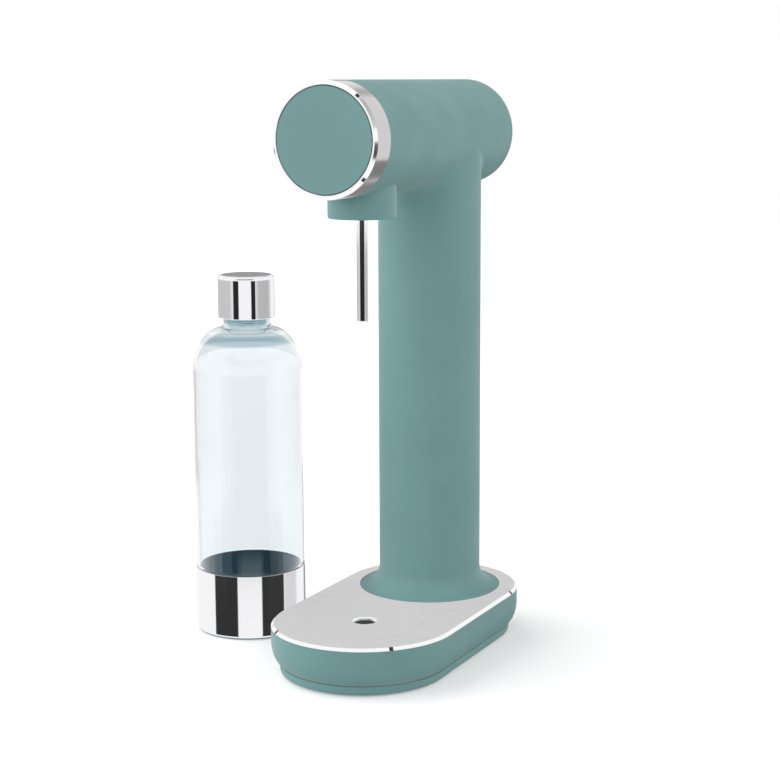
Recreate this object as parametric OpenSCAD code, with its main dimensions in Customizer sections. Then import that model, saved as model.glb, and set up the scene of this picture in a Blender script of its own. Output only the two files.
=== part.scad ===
// Sparkling water maker with a rotary dial, a drip tray and a screw-top bottle.
// Origin: the table under the column's axis. The front is -Y and up is +Z.

/* [Overall] */
// Height of the machine, from the table to the top of the head
total_h = 430; // [422:1:445]
// Distance from the column's axis to the nozzle's axis
reach = 112; // [108:1:120]
// Gap between pieces that lift, turn or drop in
fit_gap = 0.3; // [0.2:0.05:0.4]
// Hairline seam where two mouldings meet in a curve
seam = 0.05; // [0.03:0.01:0.1]
// Radial clearance of a pin or shaft in its bore
run_gap = 0.04; // [0.02:0.01:0.08]

/* [Base] */
// Radius of the base's rounded ends, and half its width
base_r = 68.9; // [68:0.1:72]
// Height of the painted base above the table
base_h = 35.5; // [34:0.5:38]
// Height at which the side wall starts to curve inwards
base_turn_h = 24.5; // [24:0.5:25]
// How far the side wall would curve inwards in all
base_tuck = 10; // [9.5:0.1:11]
// Height over which the side wall curves inwards
base_tuck_h = 17; // [16.8:0.1:18.5]
// Height of the base's lower lip
base_lip_h = 8.4; // [8.2:0.1:9]
// Wall of the base moulding
base_wall = 3; // [2.6:0.1:3.2]
// Radius of the plinth's rounded ends
plinth_r = 62.6; // [61.6:0.1:63]
// Radius of the plinth's lower edge
plinth_round = 3.2; // [3:0.1:5]
// Height of the shadow groove between base and plinth
groove_h = 0.6; // [0.5:0.1:1.2]
// Thickness of the plinth's floor
plinth_floor = 2.5; // [2.2:0.1:2.8]
// Height of the locating wall that stands up inside the lip
spigot_h = 2; // [1.5:0.1:2.2]
// Thickness of the locating wall
spigot_wall = 2; // [1.6:0.1:2.2]

/* [Top plate and drip tray] */
// Thickness of the steel top plate
plate_t = 2.2; // [2.1:0.1:2.6]
// Polished chamfer round the plate's edge
plate_chamfer = 2; // [1.4:0.1:2]
// Width of the small notches in the polished edges
notch_w = 3; // [2:0.1:4]
// Depth of the plate's notches
plate_notch_d = 2.7; // [2.3:0.1:3.4]
// Turn of the two front notches away from straight ahead
plate_notch_turn = 43; // [38:1:50]
// Turn of the two rear notches away from straight ahead
plate_rear_turn = 93.5; // [90:0.5:100]
// Radius of the round opening for the drip tray
tray_r = 43.5; // [43:0.1:44.5]
// Outer radius of the drip cup
cup_r = 40; // [39:0.5:41]
// Wall of the drip cup
cup_wall = 1.6; // [1.2:0.1:2]
// Thickness of the rim that the cup hangs by
cup_rim_t = 1; // [0.8:0.1:1.5]
// Depth of the drip cup
cup_depth = 20; // [16:0.5:22]
// Radius of the drain hole in the lid
drain_r = 8.3; // [7:0.1:10]
// Bevel round the drain hole
drain_bevel = 0.9; // [0.5:0.1:1.4]

/* [Column] */
// Outer radius of the column
column_r = 39.3; // [39:0.1:39.4]
// Wall of the column and the head
shell_wall = 2.4; // [2:0.1:2.6]
// Radius of the concave flare at the column's foot
flare_r = 15.6; // [14:0.1:15.7]
// Radius of the foot flange
flange_r = 55; // [54.9:0.1:60]
// Thickness of the flange at its edge
flange_edge = 0.6; // [0.4:0.1:1]

/* [Head] */
// Outer radius of the head
head_r = 40.5; // [40.3:0.1:42]
// Length of the head in front of the nozzle's axis
head_front = 34.7; // [34:0.1:38]
// Length of the head behind the column's axis
head_back = 70.5; // [66:0.5:76]
// Radius of the head's rear edge
head_edge = 5; // [3:0.5:6]

/* [Dial] */
// Length of the steel band, from its rear edge to its chamfer
band_l = 19.2; // [18:0.1:21]
// Gap between the head and the dial
dial_gap = 0.4; // [0.3:0.05:0.7]
// Chamfer at the front of the steel band
dial_chamfer = 1.8; // [1.4:0.1:2]
// Wall of the steel band
band_wall = 1.3; // [1:0.1:1.6]
// Radius of the painted disc
disc_r = 37.1; // [36.8:0.1:37.6]
// Thickness of the painted disc
disc_t = 1.7; // [1.4:0.1:1.9]
// Depth of the painted disc behind the rim
disc_sink = 0.2; // [0.1:0.05:0.5]
// Depth of the notches in the band's chamfer
dial_notch_d = 1.9; // [1.5:0.1:2.2]
// Angles of the notches in the band's chamfer
dial_notches = [49.5, -41, -168.5];
// How far the dial turns
dial_turn = 45; // [30:1:48]
// Radius of the dial's shaft
shaft_r = 4; // [3.6:0.1:4.4]
// Throw of the cam on the shaft
cam_throw = 3; // [2:0.1:3]

/* [Spout] */
// Outer radius of the spout collar
collar_r = 24.5; // [24.3:0.1:25.5]
// Wall of the spout collar
collar_wall = 2.2; // [1.8:0.1:2.3]
// Height of the collar's lower edge below the bottom of the head
collar_drop = 15.6; // [14:0.1:20]
// Inner radius of the socket that takes the bottle's neck
socket_r = 19.3; // [19.1:0.1:19.6]
// Depth of the socket
socket_depth = 18.3; // [16:0.1:20]
// Outer radius of the carbonating tube
tube_r = 4.2; // [3.6:0.1:4.6]
// Bore of the carbonating tube
tube_bore_r = 2.6; // [2:0.1:3]
// Length of the tube that shows below the collar
tube_drop = 74; // [60:1:80]
// Radius of the jet hole in the tube's tip
jet_r = 0.7; // [0.5:0.1:1]

/* [Gas cylinder] */
// Radius of the gas cylinder
gas_r = 30; // [28:0.5:30.5]
// Wall of the gas cylinder
gas_wall = 2.2; // [1.8:0.1:2.6]
// Height of the gas cylinder's foot above the table
gas_foot_h = 13; // [12:0.5:16]
// Radius of the gas cylinder's lower edge
gas_edge = 8; // [6:0.5:10]
// Height of the gas cylinder's domed shoulder
gas_dome_h = 24; // [20:0.5:30]
// Radius of the gas cylinder's neck
gas_neck_r = 13; // [12.5:0.1:14]
// Radius of the valve's screw thread
gas_thread_r = 10.5; // [10:0.1:11]
// Length of the valve's screw thread
gas_thread_l = 12; // [11:0.5:13]

/* [Bottle] */
// Distance of the bottle's axis to the left of the column's axis
bottle_left = 134; // [122:1:160]
// Distance of the bottle's axis in front of the column's axis
bottle_ahead = 49.1; // [20:1:100]
// Radius of the clear body
bottle_r = 42.4; // [42:0.1:42.6]
// Radius of the steel cup at its foot
foot_cup_r = 42.95; // [42.8:0.05:44]
// Height of the steel cup
foot_cup_h = 50.5; // [40:0.5:60]
// Thickness of the cup's steel
foot_cup_wall = 0.9; // [0.7:0.1:1.2]
// Radius of the cup's lower edge
foot_cup_round = 3; // [2:0.5:4]
// Height at which the shoulder starts
shoulder_h = 206; // [196:1:212]
// Height of the shoulder
shoulder_rise = 34.5; // [30:0.5:35]
// Radius of the neck
neck_r = 18; // [17.6:0.1:18.3]
// Length of the neck over the shoulder
neck_l = 36.3; // [33:0.1:42]
// Wall of the clear body
bottle_wall = 2; // [1.6:0.1:2.6]
// Wall of the neck
neck_wall = 2.8; // [2.2:0.1:3.2]
// How far the cap reaches down over the neck
cap_skirt = 28.8; // [25:0.1:34]
// Radius of the cap
cap_r = 21.9; // [21.8:0.1:23]
// Radius of the cap's upper edge
cap_round = 3; // [2:0.1:4]
// Thickness of the cap's steel
cap_wall = 0.8; // [0.6:0.1:0.9]
// Thickness of the cap's sealing disc
cap_seal_t = 1.6; // [1.2:0.1:2]

/* [Fasteners and feet] */
// Radius of a screw's shank
screw_r = 1.5; // [1.3:0.1:1.6]
// Radius of a screw's head
screw_head_r = 3; // [2.6:0.1:3.2]
// Height of a screw's head
screw_head_h = 2; // [1.6:0.1:2.2]
// Radius of the ring on which the base's end screws stand
boss_ring_r = 52; // [51.6:0.1:52.2]
// Turn of the end screws away from the centre line
boss_turn = 25; // [20:1:30]
// Radius of a screw boss
boss_r = 4.2; // [3.9:0.1:4.3]
// Radius of a rubber foot
foot_r = 6; // [5:0.1:7]
// Height that the rubber feet stand proud
foot_stand = 1; // [0.8:0.1:1.2]
// Depth of a foot's recess
foot_seat = 1; // [0.8:0.1:1.2]
// Radius of the ring on which the feet stand
foot_ring_r = 50; // [48:0.5:51]
// Turn of the feet away from the centre line
foot_turn = 62; // [58:1:70]

/* [Hidden] */
$fn = 96;
arc_steps = 14;
// Cuts run past the faces that they open by this much
overrun = 1;

// Heights and radii that several pieces share
plinth_top_h = base_lip_h - groove_h;
floor_top_h = foot_stand + plinth_floor;
deck_h = base_h - base_wall;
plate_top_h = base_h + plate_t;
head_h = total_h - head_r;
head_in_r = head_r - shell_wall;
head_low_h = head_h - head_r;
head_y = -reach - head_front;
column_in_r = column_r - shell_wall;
lip_r = side_r(base_lip_h);
spigot_r = lip_r - base_wall - fit_gap;
screw_hole_r = screw_r + run_gap;
screw_way_r = screw_r + fit_gap;
boss_under = 4.2;
boss_seat_h = floor_top_h + screw_head_h + boss_under;
base_screw_l = 16;

// Twist-off hatch under the gas cylinder
hatch_hole_r = 35;
hatch_r = hatch_hole_r - fit_gap;
hatch_rim_w = 4.6;
hatch_rim_t = 1.9;
hatch_lug_w = 3.4;
hatch_lug_turn = 24;
hatch_open_turn = 30;
hatch_slack_turn = 2;
hatch_lugs = 3;
hatch_grip_w = 12;
hatch_wall = 1.7;
hatch_dome_r = 28;
hatch_dome_h = 7;
hatch_pad_r = 5;

// Guide ring for the gas cylinder, clamped between the deck and the screws
guide_r = column_in_r - fit_gap;
guide_gap = 1;
guide_h = 30;
guide_flange_r = 47;
guide_flange_t = 2.2;
foot_screw_ring_r = 43.2;
foot_screw_bite = 3.6;

// Frame inside the head
sleeve_r = column_in_r - fit_gap;
sleeve_wall = 2.4;
sleeve_h = 30;
frame_disc_t = 3.5;
frame_lift = 7;
frame_h = head_low_h + frame_lift;
beam_w = 38;
beam_t = 3.5;
beam_rise = 4;
beam_h = frame_h + beam_rise;
beam_back_y = -17;
web_t = 13;
bulkhead_t = 4;
bulkhead_in = 2.7;
post_w = 18;
post_t = 8;
post_front_y = -30;
post_back_y = 18;
post_over = 8;
bush_wall = 2;
bush_flange = 1.5;
bush_flange_t = 1;
stop_ring_r = 20;
stop_r = 2.5;
stop_turn = asin((stop_r + fit_gap) / (stop_ring_r - stop_r));
stop_tip = 1;

// Valve works above the gas cylinder
block_r = 15;
block_roof = 5;
washer_t = 1.4;
washer_bore_r = 4;
plunger_r = 2.5;
plunger_tip_r = 1.5;
plunger_head_r = 6;
plunger_head_t = 2;
plunger_gap = 0.1;
cam_rim = 0.6;
cam_r = shaft_r + cam_throw + cam_rim;
cam_l = 12;
cam_low_h = head_h - cam_r;
plunger_top_h = cam_low_h - plunger_gap;
gas_top_h = frame_h + gas_thread_l;
block_top_h = gas_top_h + washer_t + block_roof;
pin_r = 1.6;
pin_sink = 1.3;
pin_l = 9;
pin_gap = 0.1;
pin_top_h = gas_top_h - pin_sink;
press_stroke = cam_throw * PI * dial_turn / 180;
spring_wire_r = 0.4;
spring_turns = 3;
spring_sides = 6;
spring_turn_steps = 12;
spring_in = 0.2;
gas_collar_h = 7;
gas_collar_out = 1.5;
gas_neck_h = 10;
gas_shoulder_h = frame_h - frame_disc_t - gas_collar_h;
gas_neck_low_h = gas_shoulder_h - gas_neck_h;
gas_bore_r = 8;
gas_plug_l = 8;
gas_foot_rise = 2;

// Gas path to the nozzle
pipe_r = 1.8;
pipe_bore_r = 1;
pipe_over_beam = 7.5;
pipe_h = beam_h + beam_t + pipe_over_beam;
pipe_in = 4;
nozzle_r = 17;
nozzle_neck_r = 9;
nozzle_over_pipe = 4.5;
nozzle_top_h = pipe_h + nozzle_over_pipe;
tube_seat = 3;
tube_chamfer = 0.8;
tube_tip_wall = 2;
collar_h = head_low_h - collar_drop;
collar_in_r = collar_r - collar_wall;
collar_break = 0.6;
socket_lip = 0.6;
socket_low_h = collar_h + socket_lip;
socket_roof_h = socket_low_h + socket_depth;
socket_screw_ring_r = 12.5;
seal_t = 2.4;
seal_in_r = 6;
seal_out_gap = 0.2;
relief_r = 4.5;
relief_h = 6;
relief_cap_share = 0.8;
relief_stem_r = 2;
relief_stem_h = 1.5;

// Dial
band_back_y = head_y - dial_gap;
band_edge_y = band_back_y - band_l;
dial_front_y = band_edge_y - dial_chamfer;
band_in_r = head_r - band_wall;
dial_lip_in_r = disc_r + fit_gap;
hub_r = band_in_r - run_gap;
hub_front_y = dial_front_y + disc_sink + disc_t + run_gap;
hub_face_t = 2.6;
hub_wall = 2.4;
hub_back_in = 0.5;
hub_boss_r = 8;
hub_boss_l = 15;
dial_screw_r = 2;
dial_screw_l = 12;
dial_screw_head_r = 3.6;
dial_screw_head_h = 1.8;
dial_screw_end_gap = 1;
hub_web = 2;
shaft_end_gap = 0.1;
shaft_front_y = hub_front_y + dial_screw_head_h + hub_web + shaft_end_gap;
shaft_over = 2;

// Bottle
bottle_at = [-bottle_left, -bottle_ahead];
foot_cup_in_r = foot_cup_r - foot_cup_wall;
bottle_foot_r = foot_cup_in_r - fit_gap;
bottle_foot_round = 9;
bottle_foot_gap = 0.3;
bottle_foot_h = foot_cup_wall + bottle_foot_gap;
bottle_floor = 3;
bottle_in_r = bottle_r - bottle_wall;
mouth_r = neck_r - neck_wall;
neck_low_h = shoulder_h + shoulder_rise;
mouth_h = neck_low_h + neck_l;
cap_h = mouth_h - cap_skirt;
rim_step = 1;
mouth_round = 0.8;
shoulder_wall = 3;
liner_gap = 0.2;
liner_r = cap_r - cap_wall - liner_gap;
liner_neck_gap = 1.2;
liner_in_r = neck_r + liner_neck_gap;
liner_roof = 1.4;
liner_up = 1;
liner_gap_top = 0.2;
seal_gap = 0.2;
cap_seal_h = mouth_h + seal_gap;
liner_roof_h = cap_seal_h + cap_seal_t + seam;
liner_top_h = liner_roof_h + liner_roof;
cap_top_h = liner_top_h + liner_gap_top + cap_wall;
cap_break = 0.5;

base_screw_at = [for (s = [-1, 1]) each [
  [s * boss_ring_r * sin(boss_turn), -reach - boss_ring_r * cos(boss_turn)],
  [s * boss_ring_r, -reach / 2],
  [s * boss_ring_r * sin(boss_turn), boss_ring_r * cos(boss_turn)]]];
foot_at = [for (s = [-1, 1]) each [
  [s * foot_ring_r * sin(foot_turn), -reach - foot_ring_r * cos(foot_turn)],
  [s * foot_ring_r * sin(foot_turn), foot_ring_r * cos(foot_turn)]]];

paint = [0.46, 0.60, 0.59];
steel = [0.80, 0.81, 0.82];
polished = [0.88, 0.89, 0.90];
dark_plastic = [0.20, 0.21, 0.22];
grey_plastic = [0.55, 0.57, 0.58];
brass = [0.80, 0.66, 0.35];
rubber = [0.12, 0.12, 0.12];
clear = [0.86, 0.92, 0.95, 0.45];

// Radius of the base's side wall at a height
function side_r(z) = z >= base_turn_h ? base_r
  : base_r - base_tuck * (1 - sqrt(1 - pow((base_turn_h - z) / base_tuck_h, 2)));

// Side wall from the lip to the turn, moved inwards by a wall
function side_points(wall) = let (low = acos((base_turn_h - base_lip_h) / base_tuck_h))
  [for (i = [0 : arc_steps]) let (a = low + (90 - low) * i / arc_steps)
    [base_r - base_tuck * (1 - sin(a)) - wall, base_turn_h - base_tuck_h * cos(a)]];

// Points of an arc about a centre, with its two radii and its end angles
function arc_points(c, rx, ry, from, to) = [for (i = [0 : arc_steps])
  let (a = from + (to - from) * i / arc_steps) [c[0] + rx * cos(a), c[1] + ry * sin(a)]];

// Sweeps a half profile round the base's outline, straight sides and round ends
module stadium() {
  rotate_extrude(angle = 180) children();
  translate([0, -reach, 0]) rotate([0, 0, 180]) rotate_extrude(angle = 180) children();
  rotate([90, 0, 0]) linear_extrude(height = reach) union() {
    children();
    mirror([1, 0, 0]) children();
  }
}

// Upright cylinder between two heights
module rod(r, low, high) { translate([0, 0, low]) cylinder(r = r, h = high - low); }

// Upright tube between two heights
module pipe(r, bore, low, high) {
  difference() {
    rod(r, low, high);
    rod(bore, low - overrun, high + overrun);
  }
}

// Cylinder along Y at the head's axis, between a front and a back place
module axle(r, front, back, h = head_h) {
  translate([0, back, h]) rotate([90, 0, 0]) cylinder(r = r, h = back - front);
}

// Revolved half profile along Y at the head's axis, with its heights measured forwards
module turned() { translate([0, 0, head_h]) rotate([90, 0, 0]) rotate_extrude() children(); }

// Places its children at the screws that hold the column's foot
module at_foot_screws() {
  for (a = [0 : 90 : 270]) rotate(a) translate([foot_screw_ring_r, 0, 0]) children();
}

// Places its children at the screws that hold the bottle socket
module at_socket_screws() {
  translate([0, -reach, 0]) for (a = [45 : 90 : 315])
    rotate(a) translate([socket_screw_ring_r, 0, 0]) children();
}

// Screw with its head below, standing on a height
module screw(r, head_r, head_h, low, l) {
  rod(head_r, low, low + head_h);
  rod(r, low, low + head_h + l);
}

module base_body() {
  color(paint) difference() {
    union() {
      difference() {
        stadium() polygon(concat([[0, base_lip_h]], side_points(0), [[base_r, base_h], [0, base_h]]));
        stadium() polygon(concat([[0, base_lip_h - overrun], [lip_r - base_wall, base_lip_h - overrun]],
          side_points(base_wall), [[base_r - base_wall, deck_h], [0, deck_h]]));
      }
      for (p = base_screw_at)
        translate([p[0], p[1], 0]) rod(boss_r, boss_seat_h, deck_h + base_wall / 2);
    }
    rod(column_in_r, deck_h - overrun, base_h + overrun);
    translate([0, -reach, 0]) {
      rod(cup_r + fit_gap, deck_h - overrun, base_h + overrun);
      rod(tray_r, base_h - cup_rim_t, base_h + overrun);
    }
    at_foot_screws() rod(screw_way_r, deck_h - overrun, base_h + overrun);
    for (p = base_screw_at) translate([p[0], p[1], 0]) rod(screw_hole_r, base_lip_h, deck_h);
  }
}

module base_plinth() {
  color(paint) difference() {
    union() {
      stadium() polygon(concat([[0, foot_stand]],
        arc_points([plinth_r - plinth_round, foot_stand + plinth_round],
          plinth_round, plinth_round, -90, 0),
        [[plinth_r, plinth_top_h], [spigot_r, plinth_top_h], [spigot_r, plinth_top_h + spigot_h],
         [spigot_r - spigot_wall, plinth_top_h + spigot_h], [spigot_r - spigot_wall, floor_top_h],
         [0, floor_top_h]]));
      for (p = base_screw_at)
        translate([p[0], p[1], 0]) rod(boss_r, foot_stand + plinth_floor / 2, boss_seat_h);
    }
    rod(hatch_hole_r, -overrun, floor_top_h + overrun);
    for (i = [0 : hatch_lugs - 1]) rotate(360 / hatch_lugs * i - hatch_open_turn - hatch_slack_turn)
      translate([0, 0, -overrun]) rotate_extrude(angle = hatch_lug_turn + 2 * hatch_slack_turn)
        translate([hatch_r - hatch_rim_w, 0])
          square([hatch_rim_w + hatch_lug_w + fit_gap, floor_top_h + 2 * overrun]);
    for (p = foot_at) translate([p[0], p[1], 0]) rod(foot_r + seam, -overrun, foot_stand + foot_seat);
    for (p = base_screw_at) translate([p[0], p[1], 0]) {
      rod(screw_head_r + fit_gap, -overrun, floor_top_h + screw_head_h);
      rod(screw_way_r, 0, base_h);
    }
  }
}

module rubber_feet() {
  color(rubber) for (p = foot_at) translate([p[0], p[1], 0]) rod(foot_r, 0, foot_stand + foot_seat);
}

module base_screws() {
  color(steel) for (p = base_screw_at) translate([p[0], p[1], 0])
    screw(screw_r, screw_head_r, screw_head_h, floor_top_h, base_screw_l);
}

module top_plate() {
  color(steel) difference() {
    stadium() polygon([[0, base_h], [base_r, base_h], [base_r, plate_top_h - plate_chamfer],
      [base_r - plate_chamfer, plate_top_h], [0, plate_top_h]]);
    rod(column_r + fit_gap, base_h - overrun, plate_top_h + overrun);
    translate([0, -reach, 0]) rod(tray_r, base_h - overrun, plate_top_h + overrun);
    at_foot_screws() rod(screw_way_r, base_h - overrun, plate_top_h + overrun);
    for (s = [-1, 1], n = [[reach, plate_notch_turn], [0, plate_rear_turn]])
      translate([0, -n[0], base_h - overrun]) rotate(s * n[1])
        translate([-notch_w / 2, -base_r - overrun, 0])
          cube([notch_w, plate_notch_d + overrun, plate_t + 2 * overrun]);
  }
}

module drip_cup() {
  color(dark_plastic) translate([0, -reach, 0]) rotate_extrude() polygon(concat(
    [[0, base_h - cup_depth]],
    arc_points([cup_r - 2 * cup_wall, base_h - cup_depth + 2 * cup_wall],
      2 * cup_wall, 2 * cup_wall, -90, 0),
    [[cup_r, base_h - cup_rim_t], [tray_r - fit_gap, base_h - cup_rim_t], [tray_r - fit_gap, base_h],
     [cup_r - cup_wall, base_h], [cup_r - cup_wall, base_h - cup_depth + 2 * cup_wall],
     [cup_r - 2 * cup_wall, base_h - cup_depth + cup_wall], [0, base_h - cup_depth + cup_wall]]));
}

module drip_lid() {
  color(steel) translate([0, -reach, 0]) rotate_extrude() polygon([
    [drain_r, base_h], [tray_r - fit_gap, base_h], [tray_r - fit_gap, plate_top_h],
    [drain_r + drain_bevel, plate_top_h], [drain_r, plate_top_h - drain_bevel]]);
}

module cylinder_hatch() {
  lug_low = floor_top_h + fit_gap / 2;
  color(paint) difference() {
    union() {
      rotate_extrude() polygon([
        [0, foot_stand], [hatch_r, foot_stand], [hatch_r, lug_low + hatch_rim_t],
        [hatch_r - hatch_rim_w, lug_low + hatch_rim_t], [hatch_r - hatch_rim_w, floor_top_h],
        [hatch_dome_r, floor_top_h], [hatch_dome_r, floor_top_h + hatch_dome_h],
        [0, floor_top_h + hatch_dome_h]]);
      for (i = [0 : hatch_lugs - 1]) rotate(360 / hatch_lugs * i) translate([0, 0, lug_low])
        rotate_extrude(angle = hatch_lug_turn)
          translate([hatch_r - hatch_rim_w / 2, 0])
            square([hatch_rim_w / 2 + hatch_lug_w, hatch_rim_t]);
    }
    for (s = [-1, 1]) intersection() {
      rod(hatch_dome_r - hatch_wall, -overrun, floor_top_h + hatch_dome_h - hatch_wall);
      translate([s * (hatch_grip_w / 2 + hatch_r), 0, 0])
        cube([2 * hatch_r, 2 * hatch_r, 2 * (floor_top_h + hatch_dome_h)], center = true);
    }
    rod(hatch_pad_r + seam, -overrun, foot_stand + foot_seat);
  }
}

module hatch_foot() { color(rubber) rod(hatch_pad_r, 0, foot_stand + foot_seat); }

module cylinder_guide() {
  color(grey_plastic) difference() {
    union() {
      rod(guide_r, deck_h - guide_flange_t, deck_h + guide_h);
      rod(guide_flange_r, deck_h - guide_flange_t, deck_h);
    }
    rod(gas_r + guide_gap, deck_h - guide_flange_t - overrun, deck_h + guide_h + overrun);
    at_foot_screws() rod(screw_way_r, deck_h - guide_flange_t - overrun, base_h);
  }
}

module foot_screws() {
  low = deck_h - guide_flange_t - screw_head_h;
  color(steel) at_foot_screws()
    screw(screw_r, screw_head_r, screw_head_h, low, plate_top_h + foot_screw_bite - low - screw_head_h);
}

module column_casing() {
  color(paint) difference() {
    rotate_extrude() polygon(concat([[column_in_r, base_h], [column_r, base_h], [column_r, plate_top_h],
      [flange_r, plate_top_h], [flange_r, plate_top_h + flange_edge]],
      arc_points([column_r + flare_r, plate_top_h + flange_edge + flare_r], flare_r, flare_r, 270, 180),
      [[column_r, head_h], [column_in_r, head_h]]));
    axle(head_r + seam, -2 * column_r, 2 * column_r);
    at_foot_screws() rod(screw_hole_r, base_h, plate_top_h + foot_screw_bite + fit_gap);
  }
}

module head_casing() {
  color(paint) difference() {
    turned() polygon(concat([[0, -head_back]],
      arc_points([head_r - head_edge, head_edge - head_back], head_edge, head_edge, -90, 0),
      [[head_r, -head_y], [head_in_r, -head_y], [head_in_r, shell_wall - head_back],
       [0, shell_wall - head_back]]));
    rod(column_in_r, head_low_h - overrun, head_h);
    translate([0, -reach, 0]) rod(collar_in_r, head_low_h - overrun, head_h);
  }
}

module spout_collar() {
  color(paint) difference() {
    translate([0, -reach, 0]) rotate_extrude() polygon([
      [collar_in_r, collar_h], [collar_r - collar_break, collar_h], [collar_r, collar_h + collar_break],
      [collar_r, head_h], [collar_in_r, head_h]]);
    axle(head_r + seam, head_y - overrun, 0);
  }
}

module inner_frame() {
  disc_low = frame_h - frame_disc_t;
  front_y = head_y + bulkhead_in;
  color(grey_plastic) difference() {
    union() {
      rotate_extrude() polygon([
        [0, disc_low], [sleeve_r - sleeve_wall, disc_low], [sleeve_r - sleeve_wall, disc_low - sleeve_h],
        [sleeve_r, disc_low - sleeve_h], [sleeve_r, frame_h], [0, frame_h]]);
      translate([-post_w / 2, beam_back_y - web_t, disc_low])
        cube([post_w, web_t, beam_h + beam_t - disc_low]);
      translate([-beam_w / 2, front_y, beam_h]) cube([beam_w, beam_back_y - front_y, beam_t]);
      axle(head_in_r - fit_gap, front_y, front_y + bulkhead_t);
      translate([-post_w / 2, post_front_y, beam_h]) cube([post_w, post_t, head_h + post_over - beam_h]);
      translate([-post_w / 2, post_back_y, disc_low]) cube([post_w, post_t, head_h + post_over - disc_low]);
    }
    rod(gas_neck_r + fit_gap, disc_low - overrun, frame_h + overrun);
    axle(shaft_r + bush_wall + run_gap, front_y - overrun, post_back_y + post_t + overrun);
    translate([0, -reach, 0]) rod(nozzle_neck_r + fit_gap, frame_h, nozzle_top_h);
    axle(pipe_r + fit_gap, post_front_y - overrun, beam_back_y + overrun, pipe_h);
    at_socket_screws() rod(screw_hole_r, beam_h - overrun, beam_h + beam_t + overrun);
    translate([0, front_y + bulkhead_t + overrun, head_h]) rotate([90, 0, 0])
      rotate([0, 0, 90 - dial_turn - stop_turn]) rotate_extrude(angle = dial_turn + 2 * stop_turn)
        translate([stop_ring_r - stop_r - fit_gap, 0])
          square([2 * (stop_r + fit_gap), bulkhead_t + 2 * overrun]);
  }
}

// Flanged bush on the dial's shaft, with its flange at the front
module bush(front, l) {
  difference() {
    union() {
      axle(shaft_r + bush_wall, front, front + l);
      axle(shaft_r + bush_wall + bush_flange, front - bush_flange_t, front);
    }
    axle(shaft_r + run_gap, front - bush_flange_t - overrun, front + l + overrun);
  }
}

module front_bush() { color(brass) bush(head_y + bulkhead_in, bulkhead_t); }

module middle_bush() { color(brass) bush(post_front_y, post_t); }

module rear_bush() { color(brass) bush(post_back_y, post_t); }

module valve_block() {
  color(brass) difference() {
    rod(block_r, frame_h, block_top_h);
    rod(gas_thread_r + fit_gap, frame_h - overrun, gas_top_h + washer_t);
    rod(plunger_r + run_gap, frame_h, block_top_h + overrun);
    axle(pipe_r + run_gap, -block_r - overrun, pipe_in - block_r, pipe_h);
    axle(pipe_bore_r, -block_r, 0, pipe_h);
  }
}

module valve_washer() {
  color(rubber) pipe(gas_thread_r, washer_bore_r, gas_top_h + seam, gas_top_h + washer_t);
}

module valve_plunger() {
  color(steel) {
    rod(plunger_tip_r, pin_top_h + pin_gap, plunger_top_h);
    rod(plunger_r, pipe_h + pipe_bore_r, plunger_top_h);
    rod(plunger_head_r, plunger_top_h - plunger_head_t, plunger_top_h);
  }
}

// Spring wire swept along a helix about the plunger
module plunger_spring() {
  mean_r = plunger_head_r - spring_wire_r - spring_in;
  low = block_top_h + spring_wire_r + seam;
  rise = plunger_top_h - plunger_head_t - spring_wire_r - seam - low;
  rings = spring_turns * spring_turn_steps;
  points = [for (i = [0 : rings], k = [0 : spring_sides - 1])
    let (a = 360 * i / spring_turn_steps, b = 360 * k / spring_sides, r = mean_r + spring_wire_r * cos(b))
    [r * cos(a), r * sin(a), low + rise * i / rings + spring_wire_r * sin(b)]];
  sides = [for (i = [0 : rings - 1], k = [0 : spring_sides - 1], h = [0, 1])
    let (n = (k + 1) % spring_sides, p = i * spring_sides, q = p + spring_sides)
    h == 0 ? [p + k, q + k, q + n] : [p + k, q + n, p + n]];
  ends = [[for (k = [0 : spring_sides - 1]) k],
    [for (k = [spring_sides - 1 : -1 : 0]) rings * spring_sides + k]];
  color(steel) polyhedron(points = points, faces = concat(sides, ends), convexity = 6);
}

module gas_cylinder() {
  low = gas_foot_h;
  top = gas_neck_low_h;
  color(steel) rotate_extrude() polygon(concat(
    [[0, low + gas_foot_rise], [gas_neck_r, low + gas_foot_rise]],
    arc_points([gas_r - gas_edge, low + gas_edge], gas_edge, gas_edge, -90, 0),
    arc_points([gas_neck_r, top - gas_dome_h], gas_r - gas_neck_r, gas_dome_h, 0, 90),
    [[gas_neck_r, gas_shoulder_h], [gas_bore_r, gas_shoulder_h], [gas_bore_r, top - gas_wall]],
    arc_points([gas_bore_r, top - gas_dome_h], gas_r - gas_wall - gas_bore_r, gas_dome_h - gas_wall, 90, 0),
    [[gas_r - gas_wall, low + gas_edge], [gas_r - gas_edge, low + gas_foot_rise + gas_wall],
     [0, low + gas_foot_rise + gas_wall]]));
}

module gas_valve() {
  color(brass) difference() {
    union() {
      rod(gas_bore_r - run_gap, gas_shoulder_h - gas_plug_l, gas_shoulder_h);
      rod(gas_neck_r, gas_shoulder_h + seam, gas_shoulder_h + gas_collar_h - gas_collar_out);
      rod(gas_thread_r, gas_shoulder_h, gas_top_h);
    }
    rod(pin_r + fit_gap, gas_top_h - pin_l - 2 * press_stroke, gas_top_h + overrun);
  }
}

module valve_pin() { color(steel) rod(pin_r, pin_top_h - pin_l, pin_top_h); }

module gas_pipe() {
  front = -reach + nozzle_neck_r - pipe_in;
  back = pipe_in - block_r;
  color(steel) difference() {
    axle(pipe_r, front, back, pipe_h);
    axle(pipe_bore_r, front - overrun, back + overrun, pipe_h);
  }
}

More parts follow.
